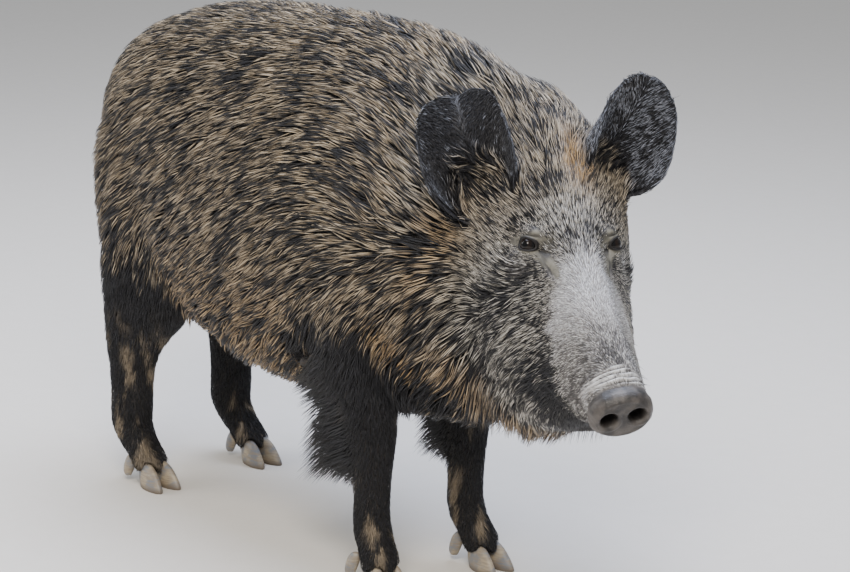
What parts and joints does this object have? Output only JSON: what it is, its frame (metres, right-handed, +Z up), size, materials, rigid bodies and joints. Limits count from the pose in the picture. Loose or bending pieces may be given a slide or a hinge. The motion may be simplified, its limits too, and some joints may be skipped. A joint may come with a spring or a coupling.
{
  "type": "wild boar",
  "caption": "Life-size standing wild boar sow in a thick winter coat, head turned a little to its right, resting on its hooves.",
  "frame": {"origin": "middle of the bounding box, on the floor under the hooves", "axes": "+X along the body from rump to chest, +Y to the animal's left, +Z up"},
  "size_m": [1.314, 0.3878, 0.8007],
  "materials": {
    "coat": "matte, long coarse hair over skin",
    "snout_skin": "bare moist skin",
    "horn": "worn horn",
    "eye": "wet gloss"
  },
  "bodies": {
    "root": {"hoof_fore_left_outer": "horn", "dewclaw_fore_left_outer": "horn", "hoof_fore_left_inner": "horn", "dewclaw_fore_left_inner": "horn", "hoof_fore_right_outer": "horn", "dewclaw_fore_right_outer": "horn", "hoof_fore_right_inner": "horn", "dewclaw_fore_right_inner": "horn", "hoof_hind_left_outer": "horn", "dewclaw_hind_left_outer": "horn", "hoof_hind_left_inner": "horn", "dewclaw_hind_left_inner": "horn", "hoof_hind_right_outer": "horn", "dewclaw_hind_right_outer": "horn", "hoof_hind_right_inner": "horn", "dewclaw_hind_right_inner": "horn", "foreleg_left": "coat", "foreleg_right": "coat", "hindleg_left": "coat", "hindleg_right": "coat", "trunk": "coat", "neck": "coat", "eye_left": "eye", "eye_right": "eye", "lower_jaw": "coat", "head": "coat", "snout_disc": "snout_skin", "ear_left": "coat", "ear_right": "coat", "tail": "coat"}
  },
  "joints": []
}
